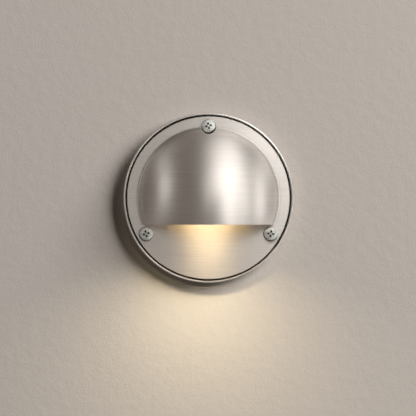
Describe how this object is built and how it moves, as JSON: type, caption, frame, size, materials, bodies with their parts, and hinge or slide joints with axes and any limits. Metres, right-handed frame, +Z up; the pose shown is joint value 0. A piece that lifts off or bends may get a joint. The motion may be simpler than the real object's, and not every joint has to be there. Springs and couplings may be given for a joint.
{
  "type": "led wall sconce",
  "caption": "Round brushed steel eyelid wall light: shallow pan, screwed cover with a half-dome hood, and an LED lamp that throws warm light down the wall.",
  "frame": {"origin": "centre of the wall face, on the pan's axis", "axes": "+Y into the wall, +Z up, +X to the viewer's right; the front faces -Y"},
  "size_m": [0.1, 0.0358, 0.1],
  "materials": {
    "pan_steel": "brushed stainless steel",
    "cover_steel": "brushed stainless steel, grain level",
    "screw_steel": "plain stainless screw steel",
    "zinc_steel": "bright zinc plate",
    "bare_aluminium": "mill finish",
    "black_rubber": "matt black silicone rubber",
    "foam_rubber": "closed-cell foam rubber",
    "thermal_rubber": "soft grey heat pad",
    "white_board": "white solder mask on aluminium",
    "white_plastic": "white moulding",
    "white_enamel": "white baked enamel",
    "phosphor": "yellow phosphor in clear silicone",
    "frosted_lens": "frosted lens, lit warm white",
    "green_board": "green solder mask",
    "dark_ferrite": "sintered ferrite",
    "copper_wire": "enamelled copper wire",
    "dark_sleeve": "shrunk plastic sleeve",
    "black_epoxy": "moulded chip body",
    "grey_plastic": "grey moulding",
    "red_wire": "red insulation",
    "black_wire": "black insulation"
  },
  "bodies": {
    "housing": {"wall_gasket": "foam_rubber", "back_pan": "pan_steel", "cover_gasket": "black_rubber", "cover_standoffs": "zinc_steel", "cable_grommet": "black_rubber", "bracket": "bare_aluminium", "bracket_rivets": "bare_aluminium", "thermal_pad": "thermal_rubber", "led_board": "white_board", "led_packages": "white_plastic", "led_phosphors": "phosphor", "led_socket": "white_plastic", "reflector": "white_plastic", "lens": "frosted_lens", "lens_gasket": "black_rubber", "lamp_tray": "white_enamel", "tray_screws": "zinc_steel", "driver_board": "green_board", "driver_spacers": "zinc_steel", "driver_screws": "zinc_steel", "coil_core": "dark_ferrite", "coil_winding": "copper_wire", "driver_capacitors": "dark_sleeve", "driver_chips": "black_epoxy", "supply_terminal": "grey_plastic", "output_socket": "white_plastic", "lead_red": "red_wire", "lead_black": "black_wire"},
    "cover": {"face_plate": "cover_steel"},
    "top_washer": {"screw_washer_top": "black_rubber"},
    "top_screw": {"cover_screw_top": "screw_steel"},
    "left_washer": {"screw_washer_left": "black_rubber"},
    "left_screw": {"cover_screw_left": "screw_steel"},
    "right_washer": {"screw_washer_right": "black_rubber"},
    "right_screw": {"cover_screw_right": "screw_steel"}
  },
  "joints": [
    {"name": "cover_lift_off", "type": "slide", "parent": "housing", "child": "cover", "axis": [0, -1, 0], "range_m": [0, 0.04]},
    {"name": "top_screw_travel", "type": "slide", "parent": "cover", "child": "top_washer", "axis": [0, -1, 0], "range_m": [0, 0.0042]},
    {"name": "top_screw_turn", "type": "hinge", "parent": "top_washer", "child": "top_screw", "pos_m": [0, -0.0094, 0.04225], "axis": [0, -1, 0], "range_deg": [0, 2160]},
    {"name": "left_screw_travel", "type": "slide", "parent": "cover", "child": "left_washer", "axis": [0, -1, 0], "range_m": [0, 0.0042]},
    {"name": "left_screw_turn", "type": "hinge", "parent": "left_washer", "child": "left_screw", "pos_m": [-0.03659, -0.0094, -0.02113], "axis": [0, -1, 0], "range_deg": [0, 2160]},
    {"name": "right_screw_travel", "type": "slide", "parent": "cover", "child": "right_washer", "axis": [0, -1, 0], "range_m": [0, 0.0042]},
    {"name": "right_screw_turn", "type": "hinge", "parent": "right_washer", "child": "right_screw", "pos_m": [0.03659, -0.0094, -0.02113], "axis": [0, -1, 0], "range_deg": [0, 2160]}
  ],
  "couplings": [
    {"joint": "top_screw_turn", "follows": "top_screw_travel", "rad_per_m": 8976},
    {"joint": "left_screw_turn", "follows": "left_screw_travel", "rad_per_m": 8976},
    {"joint": "right_screw_turn", "follows": "right_screw_travel", "rad_per_m": 8976}
  ]
}
